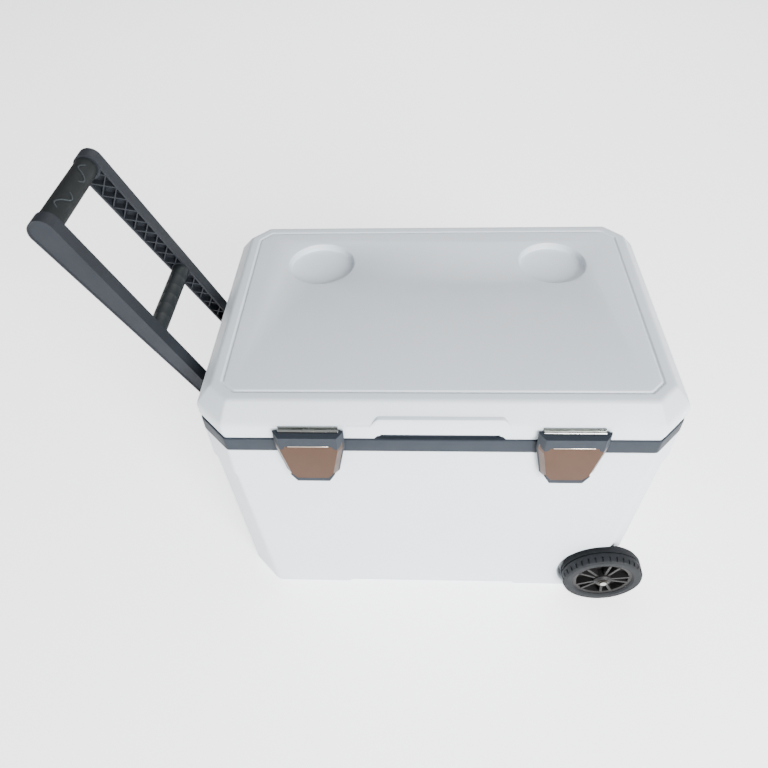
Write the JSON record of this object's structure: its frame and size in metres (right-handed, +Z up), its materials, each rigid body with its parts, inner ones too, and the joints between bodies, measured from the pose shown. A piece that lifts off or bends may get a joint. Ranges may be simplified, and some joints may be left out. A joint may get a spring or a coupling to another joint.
{
  "type": "wheeled cooler",
  "caption": "Insulated hard cooler with a hinged lid, front toggle latches, cup recesses, a folding tow handle at one end and wheels at the other.",
  "frame": {"origin": "middle of the whole object's bounding box in plan, on the floor under the feet and tyres, with the tow handle raised as stored", "axes": "+X runs along the cooler from the tow-handle end to the wheel end, +Y from the latch side to the rear hinges, +Z up"},
  "size_m": [0.8458, 0.4768, 0.6635],
  "materials": {
    "white_plastic": "fine moulded grain",
    "inner_plastic": "smooth, food-safe white",
    "slate_plastic": "satin moulded",
    "handle_plastic": "satin moulded with ribs",
    "wheel_plastic": "satin moulded",
    "tyre": "matte tread",
    "grip_rubber": "soft matte",
    "seal_rubber": "soft matte",
    "stainless": "brushed",
    "dark_steel": "dark plated",
    "bronze_plate": "satin bronze",
    "bush_plastic": "smooth",
    "foam": "rigid closed-cell insulating foam"
  },
  "bodies": {
    "cooler_body": {"body_shell": "white_plastic", "body_foam": "foam", "body_liner": "inner_plastic", "rim_band": "slate_plastic", "latch_keepers": "stainless", "keeper_screws": "stainless", "rear_body_leaves": "stainless", "rear_pins": "stainless", "rear_body_screws": "stainless", "handle_bracket": "handle_plastic", "handle_pin": "stainless", "handle_clips": "stainless", "bracket_screws": "stainless", "axle": "stainless", "axle_tube": "stainless", "axle_bushes": "bush_plastic", "axle_washers": "stainless", "axle_caps": "dark_steel", "drain_bung": "slate_plastic", "drain_nut": "slate_plastic"},
    "lid": {"lid_shell": "white_plastic", "lid_foam": "foam", "lid_liner": "inner_plastic", "lid_gasket": "seal_rubber", "latch_lid_leaves": "stainless", "latch_pins": "stainless", "latch_lid_screws": "stainless", "rear_lid_leaves": "stainless", "rear_lid_screws": "stainless"},
    "latch_left": {"latch_left_frame": "slate_plastic", "latch_left_plate": "bronze_plate", "latch_left_leaf": "stainless", "latch_left_screws": "stainless"},
    "latch_right": {"latch_right_frame": "slate_plastic", "latch_right_plate": "bronze_plate", "latch_right_leaf": "stainless", "latch_right_screws": "stainless"},
    "tow_handle": {"handle_arm_front": "handle_plastic", "handle_arm_rear": "handle_plastic", "handle_core": "handle_plastic", "handle_grip": "grip_rubber", "handle_crossbar": "handle_plastic", "handle_dowels": "stainless"},
    "wheel_front": {"tyre_front": "tyre", "hub_front": "wheel_plastic"},
    "wheel_rear": {"tyre_rear": "tyre", "hub_rear": "wheel_plastic"},
    "drain_stopper": {"drain_plug": "slate_plastic", "drain_seal": "seal_rubber"}
  },
  "joints": [
    {"name": "lid_hinge", "type": "hinge", "parent": "cooler_body", "child": "lid", "pos_m": [0.08294, 0.2234, 0.4088], "axis": [-1, 0, 0], "range_deg": [0, 105]},
    {"name": "latch_left_hinge", "type": "hinge", "parent": "lid", "child": "latch_left", "pos_m": [-0.08806, -0.2232, 0.431], "axis": [-1, 0, 0], "range_deg": [0, 95]},
    {"name": "latch_right_hinge", "type": "hinge", "parent": "lid", "child": "latch_right", "pos_m": [0.25394, -0.2232, 0.431], "axis": [-1, 0, 0], "range_deg": [0, 95]},
    {"name": "tow_handle_pivot", "type": "hinge", "parent": "cooler_body", "child": "tow_handle", "pos_m": [-0.26116, 0, 0.3596], "axis": [0, -1, 0], "range_deg": [-25, 153]},
    {"name": "wheel_front_spin", "type": "hinge", "parent": "cooler_body", "child": "wheel_front", "pos_m": [0.35894, -0.217, 0.064], "axis": [0, 1, 0], "continuous": true},
    {"name": "wheel_rear_spin", "type": "hinge", "parent": "cooler_body", "child": "wheel_rear", "pos_m": [0.35894, 0.217, 0.064], "axis": [0, 1, 0], "continuous": true},
    {"name": "drain_plug_pull", "type": "slide", "parent": "cooler_body", "child": "drain_stopper", "axis": [-1, 0, 0], "range_m": [0, 0.05]}
  ]
}
